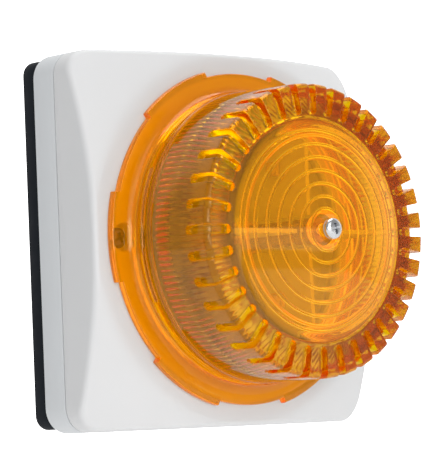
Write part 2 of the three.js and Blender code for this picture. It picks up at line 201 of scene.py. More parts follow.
def coords(nt, scale=(1, 1, 1)):
    tc = nt.nodes.new("ShaderNodeTexCoord")
    mp = nt.nodes.new("ShaderNodeMapping")
    mp.inputs["Scale"].default_value = scale
    nt.links.new(tc.outputs["Object"], mp.inputs["Vector"])
    return mp.outputs["Vector"]


def noise(nt, vec, scale, detail=4, rough=0.5):
    n = nt.nodes.new("ShaderNodeTexNoise")
    n.inputs["Scale"].default_value = scale
    n.inputs["Detail"].default_value = detail
    n.inputs["Roughness"].default_value = rough
    nt.links.new(vec, n.inputs["Vector"])
    return n.outputs["Fac"]


def ramp(nt, fac, stops):
    r = nt.nodes.new("ShaderNodeValToRGB")
    el = r.color_ramp.elements
    while len(el) < len(stops):
        el.new(0.5)
    for e, (pos, col) in zip(el, stops):
        e.position = pos
        e.color = (*col, 1) if len(col) == 3 else col
    nt.links.new(fac, r.inputs["Fac"])
    return r.outputs["Color"]


def maprange(nt, fac, lo, hi, a=0.0, b=1.0):
    r = nt.nodes.new("ShaderNodeMapRange")
    r.inputs["From Min"].default_value = a
    r.inputs["From Max"].default_value = b
    r.inputs["To Min"].default_value = lo
    r.inputs["To Max"].default_value = hi
    nt.links.new(fac, r.inputs["Value"])
    return r.outputs["Result"]


def bump(nt, p, height, strength, distance, into="Normal"):
    b = nt.nodes.new("ShaderNodeBump")
    b.inputs["Strength"].default_value = strength
    b.inputs["Distance"].default_value = distance
    nt.links.new(height, b.inputs["Height"])
    nt.links.new(b.outputs["Normal"], p.inputs[into])
    return b


def moulded(name, colour, rough=0.45, grain=0.00002, grain_scale=1500, mottle=0.04, spec=0.5, coat=0.0):
    """Injection-moulded plastic: faint flow mottling, fine spark-eroded grain, roughness that varies a little."""
    m, nt, p, out = new_material(name)
    v = coords(nt)
    big = noise(nt, v, 22, 3)
    c0 = tuple(max(0, c * (1 - mottle)) for c in colour)
    c1 = tuple(min(1, c * (1 + mottle)) for c in colour)
    nt.links.new(ramp(nt, big, [(0.3, c0), (0.7, c1)]), p.inputs["Base Color"])
    mid = noise(nt, v, 160, 4)
    nt.links.new(maprange(nt, mid, rough - 0.06, rough + 0.06, 0.3, 0.7), p.inputs["Roughness"])
    fine = noise(nt, v, grain_scale, 2, 0.6)
    bump(nt, p, fine, 0.35, grain)
    p.inputs["Specular IOR Level"].default_value = spec
    p.inputs["Coat Weight"].default_value = coat
    return m


def metal(name, colour, rough=0.25, scratch=True, scale=(400, 400, 400)):
    m, nt, p, out = new_material(name)
    p.inputs["Metallic"].default_value = 1.0
    v = coords(nt, scale)
    n1 = noise(nt, v, 1.0, 3)
    c0 = tuple(c * 0.9 for c in colour)
    nt.links.new(ramp(nt, n1, [(0.35, c0), (0.65, colour)]), p.inputs["Base Color"])
    nt.links.new(maprange(nt, n1, rough - 0.08, rough + 0.08, 0.3, 0.7), p.inputs["Roughness"])
    if scratch:
        bump(nt, p, n1, 0.15, 0.00002)
    return m


def amber_material():
    """Clear dyed polycarbonate. The thin flange holds the deepest tint, the thick slotted rim the lightest; the flat
    front ring of the rim carries a painted shade, and the lens a painted glow.
    """
    m, nt, p, out = new_material("amber_polycarbonate")
    v = coords(nt)
    sep = nt.nodes.new("ShaderNodeSeparateXYZ")
    nt.links.new(v, sep.inputs[0])
    ln = nt.nodes.new("ShaderNodeVectorMath")
    ln.operation = "LENGTH"
    nt.links.new(coords(nt, (1, 0, 1)), ln.inputs[0])
    in_flange = maprange(nt, sep.outputs["Y"], 0.0, 1.0, -0.0480, -0.0455)
    deep = maprange(nt, sep.outputs["Y"], 1.0, 0.0, -0.0715, -0.0690)
    wide = maprange(nt, ln.outputs["Value"], 0.0, 1.0, 0.0403, 0.0415)
    in_rim = nt.nodes.new("ShaderNodeMath")
    in_rim.operation = "MULTIPLY"
    nt.links.new(deep, in_rim.inputs[0])
    nt.links.new(wide, in_rim.inputs[1])

    def blend(fac, a, b):
        mix = nt.nodes.new("ShaderNodeMix")
        mix.data_type = "RGBA"
        nt.links.new(fac, mix.inputs[0])
        for k, c in ((6, a), (7, b)):
            if isinstance(c, tuple):
                mix.inputs[k].default_value = (*c, 1)
            else:
                nt.links.new(c, mix.inputs[k])
        return mix.outputs[2]

    tint = blend(in_flange, TINT_WALL, TINT_FLANGE)
    tint = blend(in_rim.outputs[0], tint, TINT_RIM)
    # painted shade: the flat ring inside the rim gets the darkest tint, so the slots' front floors and edges read dark
    # as if in shade
    shade_ring_front = nt.nodes.new("ShaderNodeMath")
    shade_ring_front.operation = "MULTIPLY"
    nt.links.new(maprange(nt, sep.outputs["Y"], 1.0, 0.0, -0.0838, -0.0834), shade_ring_front.inputs[0])
    nt.links.new(maprange(nt, ln.outputs["Value"], 1.0, 0.0, 0.0465, 0.0490), shade_ring_front.inputs[1])
    painted_shade_ring = nt.nodes.new("ShaderNodeMath")
    painted_shade_ring.operation = "MULTIPLY"
    nt.links.new(shade_ring_front.outputs[0], painted_shade_ring.inputs[0])
    nt.links.new(wide, painted_shade_ring.inputs[1])
    tint = blend(painted_shade_ring.outputs[0], tint, PAINTED_SHADE_TINT)
    p.inputs["Specular Tint"].default_value = (1.0, 0.80, 0.48, 1)
    # painted glow: the lens emits a little orange light of its own, most in the flange and the domed face, less in the
    # rim, to brighten them
    in_face = nt.nodes.new("ShaderNodeMath")
    in_face.operation = "MULTIPLY"
    nt.links.new(maprange(nt, sep.outputs["Y"], 1.0, 0.0, -0.0805, -0.0780), in_face.inputs[0])
    nt.links.new(maprange(nt, ln.outputs["Value"], 1.0, 0.0, 0.0385, 0.0410), in_face.inputs[1])
    nt.links.new(blend(in_face.outputs[0], tint, TINT_FACE), p.inputs["Base Color"])
    painted_glow = blend(in_flange, (0.05, 0.018, 0.0), (0.68, 0.29, 0.0))
    painted_glow = blend(in_rim.outputs[0], painted_glow, (0.20, 0.085, 0.0))
    nt.links.new(blend(in_face.outputs[0], painted_glow, (1.0, 0.44, 0.0)), p.inputs["Emission Color"])
    p.inputs["Emission Strength"].default_value = PAINTED_GLOW
    p.inputs["Transmission Weight"].default_value = 1.0
    p.inputs["IOR"].default_value = 1.55
    n1 = noise(nt, v, 60, 3)
    soft = nt.nodes.new("ShaderNodeMath")
    soft.operation = "MULTIPLY_ADD"
    soft.inputs[1].default_value = 0.10
    nt.links.new(in_rim.outputs[0], soft.inputs[0])
    nt.links.new(maprange(nt, n1, 0.02, 0.06, 0.3, 0.7), soft.inputs[2])
    nt.links.new(soft.outputs[0], p.inputs["Roughness"])
    ab = nt.nodes.new("ShaderNodeVolumeAbsorption")
    ab.inputs["Color"].default_value = DYE
    ab.inputs["Density"].default_value = 700.0
    nt.links.new(ab.outputs["Volume"], out.inputs["Volume"])
    return m


TINT_WALL = (0.84, 0.60, 0.10)
TINT_FACE = (1.0, 0.68, 0.12)
TINT_FLANGE = (1.0, 0.62, 0.08)
TINT_RIM = (1.0, 0.76, 0.22)
# painted shade: tint of the flat front ring, darkens the slots' floors and edges
PAINTED_SHADE_TINT = (0.52, 0.30, 0.10)
DYE = (0.994, 0.964, 0.0, 1)
# strength of the painted glow on the lens, which is no lamp
PAINTED_GLOW = 0.10
M = {}
M["white"] = moulded("housing_white_abs", (0.745, 0.75, 0.757), 0.42, 0.00002, 1400, 0.012)


def whiten_seat_painted_light(m, r0, r1, colour):
    """Painted light: the seat under the lens flange is painted a little whiter than the housing, so the flange over it
    reads brighter.
    """
    nt = m.node_tree
    p = next(n for n in nt.nodes if n.type == "BSDF_PRINCIPLED")
    old = p.inputs["Base Color"].links[0].from_socket
    ln = nt.nodes.new("ShaderNodeVectorMath")
    ln.operation = "LENGTH"
    nt.links.new(coords(nt, (1, 0, 1)), ln.inputs[0])
    fac = maprange(nt, ln.outputs["Value"], 0.0, 1.0, r0, r1)
    mix = nt.nodes.new("ShaderNodeMix")
    mix.data_type = "RGBA"
    nt.links.new(fac, mix.inputs[0])
    mix.inputs[6].default_value = (*colour, 1)
    nt.links.new(old, mix.inputs[7])
    nt.links.new(mix.outputs[2], p.inputs["Base Color"])


# painted light: the housing is whiter under the lens flange
whiten_seat_painted_light(M["white"], 0.0605, 0.0618, (0.96, 0.955, 0.95))
M["grey"] = moulded("housing_grey_abs", (0.70, 0.722, 0.74), 0.45, 0.00002, 1400, 0.015)
M["slate"] = moulded("slate_plate_plastic", (0.009, 0.012, 0.017), 0.65, 0.00005, 900, 0.1, 0.14)
M["rubber"] = moulded("seal_rubber", (0.022, 0.022, 0.024), 0.75, 0.00004, 700, 0.1, 0.3)
M["silicone"] = moulded("seal_silicone", (0.62, 0.60, 0.56), 0.6, 0.00003, 700, 0.05, 0.4)
M["steel"] = metal("zinc_plated_steel", (0.72, 0.73, 0.75), 0.22)
M["dull"] = metal("dull_zinc_steel", (0.20, 0.19, 0.18), 0.42)
M["brass"] = metal("turned_brass", (0.70, 0.50, 0.20), 0.3)
M["green"] = moulded("solder_mask_green", (0.012, 0.10, 0.035), 0.35, 0.00003, 500, 0.1)
M["boardwhite"] = moulded("solder_mask_white", (0.86, 0.85, 0.81), 0.4, 0.00002, 500, 0.04)
M["black"] = moulded("black_nylon", (0.016, 0.016, 0.018), 0.5, 0.00003, 900, 0.1)
M["reflector"] = moulded("reflector_white", (0.66, 0.65, 0.62), 0.35, 0.00001, 900, 0.03)
M["led"] = moulded("led_silicone", (0.80, 0.60, 0.12), 0.25, 0.00001, 900, 0.05)
M["tgreen"] = moulded("terminal_green", (0.02, 0.22, 0.08), 0.45, 0.00003, 900, 0.06)
M["core"] = moulded("ferrite_grey", (0.05, 0.05, 0.055), 0.55, 0.00005, 600, 0.1)
M["sleeve"] = moulded("capacitor_sleeve", (0.02, 0.025, 0.05), 0.3, 0.00001, 600, 0.1)
M["relay"] = moulded("relay_blue", (0.02, 0.10, 0.38), 0.35, 0.00002, 600, 0.05)
M["copper"] = metal("enamelled_copper", (0.62, 0.27, 0.13), 0.35, True, (1500, 200, 1500))
M["button"] = moulded("button_grey", (0.035, 0.035, 0.04), 0.45, 0.00003, 900, 0.08)
M["amber"] = amber_material()

# ---------------------------------------------------------------------------
# Lens
# ---------------------------------------------------------------------------
FLANGE_R, LOBE_R = 62.2, 64.15
RIM_R, RIM_D, RIM_ROUND = 53.9, 84.0, 2.0
SLOT_END_D, SLOT_END_R = 72.7, 42.5            # lower end on the wall, inner end on the front
FLOOR_R, FLOOR_D, BEND = 51.2, 81.2, 2.4       # the slots' floor and its bend
SLOT_H = 1.65
THICK = 3.0                                    # of the domed face
DOME_R = (40.0 ** 2 + 5.9 ** 2) / (2 * 5.9)


def dome_d(r):
    return 90.0 - DOME_R + math.sqrt(DOME_R ** 2 - r * r)


def wall_r(d):
    """Outside of the wall, which draws in towards the rim."""
    return 54.4 - 0.5 * (d - 47.0) / 35.0


# half-pitch angles, degrees from a slot's centre to the middle of a tooth
EVEN = np.array([0, 0.45, 0.9, 1.3, 1.7, 2.1, 2.5, 2.9, 3.3, 3.8, 4.3, 4.85, 5.0])
H_MIN = 0.2


def sector_row(half):
    """A half-pitch of 13 (rho, t) pairs, or (r, alpha) pairs, becomes all 864 stations of a row: rho along the slot's centre line, t across it."""
    pts = []
    for k in range(36):
        a = math.radians(10 * k)
        c, s_ = math.cos(a), math.sin(a)
        seq = [(rho, t, d) for rho, t, d in half[:12]]
        rho, t, d = half[12]
        seq.append((rho, t, d))
        for rho, t, d in half[11:0:-1]:
            # mirror image about the middle of the tooth: turn by +10 degrees and flip t
            b = math.radians(10)
            x, y = rho, -t
            seq.append((x * math.cos(b) - y * math.sin(b), x * math.sin(b) + y * math.cos(b), d))
        for rho, t, d in seq:
            pts.append((rho * c - t * s_, rho * s_ + t * c, d))
    return np.array(pts)


def even_row(r, d, edge=False, flute=0.0, alpha=EVEN, lug=0.0):
    """A row on a surface of revolution. edge: r is an offset from the lobed flange's radius."""
    half = []
    for a in alpha:
        half.append((math.cos(math.radians(a)), math.sin(math.radians(a)), d))
    unit = sector_row(half)
    th = np.degrees(np.arctan2(unit[:, 1], unit[:, 0])) % 360
    if edge:
        m = np.abs((th + 30) % 60 - 30)
        w = np.clip((15.12 - m) / 0.24, 0, 1)
        w = w * w * (3 - 2 * w)
        rr = FLANGE_R + (LOBE_R - FLANGE_R) * w + r
    else:
        rr = np.full(len(th), float(r))
    if flute:
        rr = rr - flute * (0.5 + 0.5 * np.cos(np.radians(th * 144))) ** 1.3
    if lug:
        m = np.abs((th - 179.5 + 60) % 120 - 60)
        w = np.clip((26.8 - m) / 0.8, 0, 1)
        rr = rr + lug * w * w * (3 - 2 * w)
    return np.stack([unit[:, 0] * rr, unit[:, 1] * rr, np.full(len(th), float(d))], axis=1)


def slot_row(P, Q, e, D=None):
    """A row across the slots at outer point P = (r, d), above Q on the slot's floor; e is the distance in from the slot's end."""
    rp, dp = P
    full = float(np.hypot(rp - Q[0], dp - Q[1]))
    D = full if D is None else D
    h = SLOT_H if e >= SLOT_H else math.sqrt(max(SLOT_H ** 2 - (SLOT_H - max(e, 0)) ** 2, 0))
    h = max(h, H_MIN)
    rt = max(min(0.28, h * 0.4), 0.06)            # how wide the roundings are
    rb = min(rt, D * 0.45)
    ta = [0, 0.5 * (h - rt), h - rt, h - rt + rt * 0.7071, h, h + 0.02, h + 0.02 + rt * 0.134, h + 0.02 + rt * 0.5, h + 0.02 + rt]
    de = [D, D, D, D - rb * 0.2929, D - rb, rb, rb * 0.5, rb * 0.134, 0]
    half = []
    for t, dl in zip(ta, de):
        base = math.sqrt(max(rp * rp - t * t, 1e-9))
        f = dl / full
        half.append((base + (Q[0] - base) * f, t, dp + (Q[1] - dp) * f))
    a8 = math.degrees(math.asin(ta[8] / rp))
    for a in (a8 + (4.85 - a8) / 3, a8 + (4.85 - a8) * 2 / 3, 4.85, 5.0):
        half.append((rp * math.cos(math.radians(a)), rp * math.sin(math.radians(a)), dp))
    return sector_row(half)


def slot_alpha(rp):
    """The stations of a slot row of no depth, as angles."""
    h, rt = H_MIN, 0.09
    ta = [0, 0.5 * (h - rt), h - rt, h - rt + rt * 0.7071, h, h + 0.02, h + 0.02 + rt * 0.134, h + 0.02 + rt * 0.5, h + 0.02 + rt]
    al = [math.degrees(math.asin(t / rp)) for t in ta]
    a8 = al[8]
    return np.array(al + [a8 + (4.85 - a8) / 3, a8 + (4.85 - a8) * 2 / 3, 4.85, 5.0])


def coarse_row(r, d):
    t = np.radians(np.arange(288) * 1.25)
    return np.stack([np.cos(t) * r, np.sin(t) * r, np.full(288, float(d))], axis=1)


def stitch(rows, closed=True):
    """Faces between rows of 864 or 288 stations."""
    start = np.cumsum([0] + [len(r) for r in rows])
    faces = []
    pairs = list(zip(range(len(rows)), list(range(1, len(rows))) + [0]))
    if not closed:
        pairs = pairs[:-1]
    for a, b in pairs:
        na, nb = len(rows[a]), len(rows[b])
        sa, sb = start[a], start[b]
        if na == nb:
            i = np.arange(na)
            k = (i + 1) % na
            faces += np.stack([sa + i, sa + k, sb + k, sb + i], axis=1).tolist()
            continue
        flip = na < nb
        if flip:
            na, nb, sa, sb = nb, na, sb, sa
        q = na // nb
        for c in range(nb):
            c2 = (c + 1) % nb
            f = [sa + (c * q + m) % na for m in range(q + 1)]
            half = q // 2
            tri = [(f[m], f[m + 1], sb + c) for m in range(half)]
            tri.append((f[half], sb + c2, sb + c))
            tri += [(f[m], f[m + 1], sb + c2) for m in range(half, q)]
            faces += [t[::-1] for t in tri] if flip else tri
    return np.concatenate(rows), faces


def build_lens():
    rows = []
    # flange edge and top
    for r, d in [(-0.5, 41.15), (-0.1, 41.32), (0.0, 41.65), (0.0, 43.4), (-0.1, 43.75), (-0.38, 44.0), (-0.85, 44.1)]:
        rows.append(even_row(r, d, edge=True))
    for r, d in [(60.6, 44.1), (58.8, 44.1), (57.6, 44.16), (56.6, 44.42), (55.8, 44.9), (55.15, 45.6), (54.75, 46.3), (54.5, 47.0)]:
        rows.append(even_row(r, d))
    for r, d, lug in [(54.42, 47.25, 0.1), (54.42, 47.4, 0.7), (54.42, 47.7, 0.85), (54.4, 49.2, 0.85), (54.4, 49.5, 0.7), (54.4, 49.7, 0.1), (54.4, 49.9, 0)]:
        rows.append(even_row(r, d, lug=lug))
    for r, d in [(54.38, 51.1), (54.5, 51.35), (54.62, 51.7), (54.62, 52.1), (54.5, 52.45), (54.33, 52.7), (54.3, 54.0)]:
        rows.append(even_row(r, d))
    for d in (58.0, 63.0, 68.0, 70.4):
        rows.append(even_row(wall_r(d), d))
    sa = slot_alpha(54.1)
    rows.append(even_row(wall_r(71.3), 71.3, alpha=EVEN * 0.65 + sa * 0.35))
    rows.append(even_row(wall_r(71.95), 71.95, alpha=EVEN * 0.25 + sa * 0.75))
    # up the wall
    for e, D in ((-0.45, 0.0), (-0.22, 0.06), (-0.06, 0.23), (0.0, 0.45)):
        d = SLOT_END_D + e
        rows.append(slot_row((wall_r(d), d), (FLOOR_R, d), e, max(D, 1e-4)))
    for e, up in ((0.01, 0.4), (0.12, 0.12), (0.4, 0), (0.7, 0), (1.1, 0), (1.65, 0), (3.2, 0), (4.8, 0)):
        d = SLOT_END_D + e
        rows.append(slot_row((wall_r(d), d), (FLOOR_R, d), e, wall_r(d) - FLOOR_R - up))
    # round the rim
    path = [(wall_r(d), d) for d in (FLOOR_D - BEND, 80.0, 81.0)]
    path += arc(RIM_R - RIM_ROUND, RIM_D - RIM_ROUND, RIM_ROUND, 0, 90, 6)
    path += [(r, RIM_D) for r in (50.9, 49.8, FLOOR_R - BEND)]
    path = np.array(path)
    s_ = np.concatenate([[0], np.cumsum(np.hypot(*np.diff(path, axis=0).T))])
    for (r, d), u in zip(path, s_ / s_[-1]):
        a = math.radians(90 * u)
        q = (FLOOR_R - BEND + BEND * math.cos(a), FLOOR_D - BEND + BEND * math.sin(a))
        rows.append(slot_row((float(r), float(d)), q, 9.0))
    # in along the front
    for r in (47.2, 45.6):
        rows.append(slot_row((r, RIM_D), (r, FLOOR_D), 9.0))
    for e, up in ((1.65, 0), (1.1, 0), (0.7, 0), (0.4, 0), (0.12, 0.12), (0.01, 0.4)):
        r = SLOT_END_R + e
        rows.append(slot_row((r, RIM_D), (r, FLOOR_D), e, RIM_D - FLOOR_D - up))
    for e, D in ((0.0, 0.45), (-0.06, 0.23), (-0.22, 0.06), (-0.45, 0.0)):
        r = SLOT_END_R + e
        rows.append(slot_row((r, RIM_D), (r, FLOOR_D), e, max(D, 1e-4)))
    sa = slot_alpha(42.0)
    rows.append(even_row(41.8, 84.0, alpha=EVEN * 0.25 + sa * 0.75))
    rows.append(even_row(41.3, 84.0, alpha=EVEN * 0.65 + sa * 0.35))
    rows.append(even_row(40.6, 84.03))
    # domed face
    for r in (39.0, 37.4, 34, 30, 26, 22, 18, 14, 10, 7, 5.2):
        rows.append(coarse_row(r, dome_d(min(r, 39.99))))
    for r, d in [(4.6, 89.86), (3.2, 89.92), (2.6, 89.9), (2.4, 89.75), (2.35, 89.4), (2.35, 86), (2.35, 82.7), (2.5, 82.45), (2.8, 82.4), (5.4, 82.4), (5.8, 82.5), (5.95, 82.9), (6.1, 85.4), (6.5, 86.1)]:
        rows.append(coarse_row(r, d))
    # smooth underside with raised rings
    for rk in (7.6, 12.0, 16.8, 21.6, 26.4, 31.2, 34.5, 36.4):
        for dr, dd in ((-0.62, 0.0), (-0.5, -0.10), (-0.34, -0.31), (-0.16, -0.47), (0.0, -0.52), (0.16, -0.47), (0.34, -0.31), (0.5, -0.10), (0.62, 0.0)):
            rows.append(coarse_row(rk + dr, dome_d(rk + dr) - THICK + dd))
        if rk < 33:
            for dr in (1.6, 2.6, 3.6):
                rows.append(coarse_row(rk + dr, dome_d(rk + dr) - THICK))
    for r, d in [(37.6, 81.75), (38.4, 81.3), (39.2, 81.0), (39.9, 80.9)]:
        rows.append(coarse_row(r, d))
    rows.append(even_row(40.4, 80.88))
    rows.append(even_row(41.0, 80.75))
    rows.append(even_row(41.5, 80.45))
    rows.append(even_row(41.95, 80.0))
    rows.append(even_row(42.4, 79.2))
    for u, fl in ((0.12, 0.04), (0.3, 0.18), (0.5, 0.34), (0.7, 0.5), (0.86, 0.6)):
        rows.append(even_row(42.4 + (51.0 - 42.4) * u, 79.2 + (63.2 - 79.2) * u, flute=fl))
    for r, d, f in [(50.75, 63.6, 0.56), (51.15, 62.6, 0.6), (51.25, 61.4, 0.6), (51.3, 58, 0.6), (51.3, 54.8, 0.6),
                    (51.3, 54.2, 0.5), (51.3, 53.7, 0.15), (51.3, 53.4, 0.0), (51.3, 52.1, 0), (51.2, 51.85, 0), (50.95, 51.75, 0), (50.85, 51.5, 0), (50.85, 50.3, 0),
                    (51.0, 50.1, 0), (51.25, 50.0, 0), (51.3, 49.7, 0), (51.3, 48.5, 0), (51.15, 48.3, 0), (50.9, 48.2, 0), (50.8, 47.9, 0),
                    (50.8, 45.6, 0), (50.65, 45.1, 0), (50.2, 44.7, 0), (49.4, 44.1, 0), (49.0, 43.7, 0), (48.9, 43.2, 0), (48.9, 41.6, 0),
                    (49.0, 41.25, 0), (49.3, 41.15, 0)]:
        rows.append(even_row(r, d, flute=f))
    for r in (52.5, 57.0, 61.0):
        rows.append(even_row(r, 41.15))
    return stitch(rows)


v, f = build_lens()
lens = new_object("lens_amber", v, f, "lens", M["amber"], sharp=38, replaces=("lens",))

# ---------------------------------------------------------------------------
# Housings and wall plate
# ---------------------------------------------------------------------------


def outline(half, r, n=10):
    """Rounded square, counter-clockwise."""
    pts = []
    for k, (sx, sy) in enumerate([(1, 1), (-1, 1), (-1, -1), (1, -1)]):
        pts += arc(sx * (half - r), sy * (half - r), r, 90 * k, 90 * k + 90, n)
    return np.array(pts)


def stack(levels, n=10):
    """A closed body from rounded squares at depths: [(half side, corner radius, depth)...], first and last capped."""
    rings = [outline(h, max(r, 0.05), n) for h, r, d in levels]
    m = len(rings[0])
    v = np.concatenate([np.column_stack([ring, np.full(m, d)]) for ring, (h, r, d) in zip(rings, levels)])
    faces = []
    for k in range(len(levels) - 1):
        for i in range(m):
            j = (i + 1) % m
            faces.append((k * m + i, k * m + j, (k + 1) * m + j, (k + 1) * m + i))
    faces.append(tuple(range(m))[::-1])
    faces.append(tuple(range((len(levels) - 1) * m, len(levels) * m)))
    return v, faces


def temp(verts, faces, name="temp"):
    me = bpy.data.meshes.new(name)
    me.from_pydata(to_world(np.asarray(verts)).tolist(), [], [list(map(int, f)) for f in faces])
    me.update()
    outward(me)
    ob = bpy.data.objects.new(name, me)
    SC.collection.objects.link(ob)
    return ob


def drop(ob):
    me = ob.data
    bpy.data.objects.remove(ob)
    if me.users == 0:
        bpy.data.meshes.remove(me)


def boolean(ob, tool, op="DIFFERENCE"):
    mod = ob.modifiers.new("b", "BOOLEAN")
    mod.operation = op
    mod.solver = "MANIFOLD"
    mod.object = tool
    bpy.context.view_layer.update()
    me = bpy.data.meshes.new_from_object(ob.evaluated_get(bpy.context.evaluated_depsgraph_get()))
    if len(me.polygons) == 0:
        raise RuntimeError(f"boolean left nothing of {ob.name}")
    old = ob.data
    ob.modifiers.clear()
    ob.data = me
    bpy.data.meshes.remove(old)
    drop(tool)


def cyl(r, d0, d1, cx, cy, n=48, chamfer=0.0):
    c = chamfer
    if c:
        pr = [(0, d0), (r, d0), (r, d1 - c), (r + c, d1), (r + c, d1 + 5), (0, d1 + 5)]
    else:
        pr = [(0, d0), (r, d0), (r, d1), (0, d1)]
    v, f = revolve_axis(pr, n)
    return temp(v + np.array([cx, cy, 0]), f, "tool")


def rect_tool(w, h, r, d0, d1, cx, cy):
    pts = []
    for k, (sx, sy) in enumerate([(1, 1), (-1, 1), (-1, -1), (1, -1)]):
        pts += arc(cx + sx * (w / 2 - r), cy + sy * (h / 2 - r), r, 90 * k, 90 * k + 90, 6)
    pts = np.array(pts)
    m = len(pts)
    v = np.concatenate([np.column_stack([pts, np.full(m, d0)]), np.column_stack([pts, np.full(m, d1)])])
    faces = [(i, (i + 1) % m, (i + 1) % m + m, i + m) for i in range(m)]
    faces += [tuple(range(m))[::-1], tuple(range(m, 2 * m))]
    return temp(v, faces, "tool")


CONE = [(64.0, 41.1), (67.2, 41.1), (69.2, 40.98), (71.4, 40.4), (74.5, 38.98), (77.6, 37.5), (81.2, 35.75), (84.9, 33.9), (88.6, 31.95), (92.2, 30.0), (97, 27.3), (101, 25.1)]
CR, CD = np.array([p[0] for p in CONE]), np.array([p[1] for p in CONE])


def cone_d(r, drop_=0.0):
    return float(np.interp(r + drop_ * 0.35, CR, CD)) - drop_


def square_radius(th, half, r):
    """Distance from the axis to a rounded square's edge along direction th."""
    c, s_ = abs(math.cos(th)), abs(math.sin(th))
    if c < s_:
        c, s_ = s_, c
    R = half / c
    if R * s_ > half - r:
        k = half - r
        b = k * (c + s_)
        R = b + math.sqrt(max(b * b - (2 * k * k - r * r), 0))
    return R


def build_front():
    rows = []
    ths = []
    for q in range(4):
        base = q * 90
        # stations bunch up at the corner
        u = np.concatenate([np.linspace(-45, -34, 12, endpoint=False), np.linspace(-34, 34, 30, endpoint=False)[0:], np.linspace(34, 45, 12, endpoint=False)])
        ths += list(base + u)
    ths = np.radians(ths)
    verts = []
    count = None
    R_FIL = 2.2
    for th in ths:
        Rs = square_radius(th, 70.0, 9.5)
        Ri = square_radius(th, 67.4, 6.9)
        prof = []
        # opening, collar, seal groove, seat
        prof += [(45.8, 33.6), (45.8, 45.0), (46.0, 45.3), (46.3, 45.4), (47.1, 45.4), (47.4, 45.3), (47.6, 45.0), (47.6, 41.5), (47.75, 41.2), (48.1, 41.1),
                 (48.7, 41.1), (48.7, 39.4), (51.4, 39.4), (51.4, 41.1)]
        prof += [(53, 41.1), (58, 41.1), (62, 41.1), (64.0, 41.1), (65.6, 41.1)]
        # front surface out to the start of the edge rounding
        r_end = Rs - R_FIL * 0.9
        rr = np.linspace(66.3, r_end, 12)
        prof += [(r, cone_d(r)) for r in rr]
        # rounded edge: quadratic through the corner
        c0 = np.array([r_end, cone_d(r_end)])
        corner = np.array([Rs, cone_d(Rs)])
        c2 = np.array([Rs, cone_d(Rs) - R_FIL])
        for t in np.linspace(0, 1, 9)[1:]:
            p = (1 - t) ** 2 * c0 + 2 * t * (1 - t) * corner + t * t * c2
            prof.append(tuple(p))
        side = np.linspace(c2[1], 20.95, 5)[1:]
        prof += [(Rs, d) for d in side]
        prof += [(Rs - 0.1, 20.72), (Rs - 0.3, 20.62)]
        # inside
        prof += [(Ri, 20.62), (Ri, 24.0)]
        di = cone_d(Rs - 2.6 + 1.0, 2.6)
        prof += [(Ri, max(di - 1.0, 24.5)), (Ri - 0.8, max(di - 0.2, 25.0))]
        rr = np.linspace(Ri - 2.0, 66.8 if Ri > 70 else min(66.4, Ri - 0.6), 5)
        prof += [(r, min(cone_d(r, 2.6), 38.4)) for r in rr]
        prof += [(65.9, 38.2), (65.9, 33.9), (65.6, 33.6)]
        count = len(prof)
        c, s_ = math.cos(th), math.sin(th)
        verts += [(r * c, r * s_, d) for r, d in prof]
    n = len(ths)
    return np.array(verts), torus_faces(n, count)


v, f = build_front()
front = temp(v, f, "housing_front")
for sx in (-1, 1):
    boolean(front, cyl(5.0, 36.4, 40.7, sx * 57.2, 0, 48, 0.4))
    boolean(front, cyl(2.35, 30, 37, sx * 57.2, 0, 32))
finish_piece(front, "cover", M["white"], sharp=32, replaces=("front_housing",))


def build_rear():
    e = 0.5
    ob = temp(*stack([(69.1, 8.6, 8.1), (69.65, 9.15, 8.22), (69.93, 9.43, 8.5), (70, 9.5, 9.0), (70, 9.5, 19.85), (69.9, 9.4, 20.06), (69.7, 9.2, 20.16)]), "housing_rear")
    boolean(ob, temp(*stack([(66.4, 5.9, 10.7), (67.1, 6.6, 10.95), (67.4, 6.9, 11.6), (67.4, 6.9, 25)]), "tool"))
    for sx in (-1, 1):
        boolean(ob, temp(*translate(revolve_axis([(0, 9.1), (4.6, 9.1), (4.3, 32.9), (4.0, 33.2), (0, 33.2)], 40), sx * 57.2, 0), "tool"), "UNION")
        boolean(ob, cyl(2.35, 14, 40, sx * 57.2, 0, 32))
        for sy in (-1, 1):
            boolean(ob, temp(*translate(revolve_axis([(0, 9.1), (3.9, 9.1), (3.6, 12), (3.6, 17.4), (3.3, 17.7), (0, 17.7)], 32), sx * 45, sy * 51), "tool"), "UNION")
            boolean(ob, cyl(1.85, 11, 20, sx * 45, sy * 51, 24))
            boolean(ob, cyl(2.35, 6, 14, sx * 58, sy * 58, 24))
    boolean(ob, rect_tool(44, 28, 3, 6, 14, 0, -22))
    return ob


def translate(vf, x, y, d=0.0):
    return np.asarray(vf[0]) + np.array([x, y, d]), vf[1]


rear = build_rear()
finish_piece(rear, "base", M["grey"], sharp=32, replaces=("rear_housing",))


def build_plate():
    ob = temp(*stack([(67.9, 5.0, 0.0), (68.3, 5.35, 0.12), (68.45, 5.5, 0.5), (68.45, 5.5, 7.2), (68.3, 5.35, 7.6), (67.95, 5.0, 7.8)]), "plate_slate")
    boolean(ob, temp(*stack([(65.25, 3.0, 3.0), (65.25, 3.0, 12)]), "tool"))
    for sx in (-1, 1):
        boolean(ob, rect_tool(2.4, 130.6, 0.3, 2.5, 6.8, sx * 40, 0), "UNION")
        for sy in (-1, 1):
            boolean(ob, cyl(5.0, 2.5, 7.8, sx * 58, sy * 58, 40), "UNION")
            boolean(ob, cyl(2.35, 1.2, 12, sx * 58, sy * 58, 24))
    boolean(ob, rect_tool(44, 28, 3, -2, 12, 0, -22))
    boolean(ob, rect_tool(4.6, 9, 2.29, -2, 12, 0, 41.65))
    boolean(ob, rect_tool(4.6, 9, 2.29, -2, 12, 0, -42.5))
    boolean(ob, rect_tool(9, 4.6, 2.29, -2, 12, 30.15, 0))
    boolean(ob, rect_tool(9, 4.6, 2.29, -2, 12, -30.15, 0))
    return ob


plate = build_plate()
finish_piece(plate, "base", M["slate"], sharp=32, replaces=("wall_plate",))

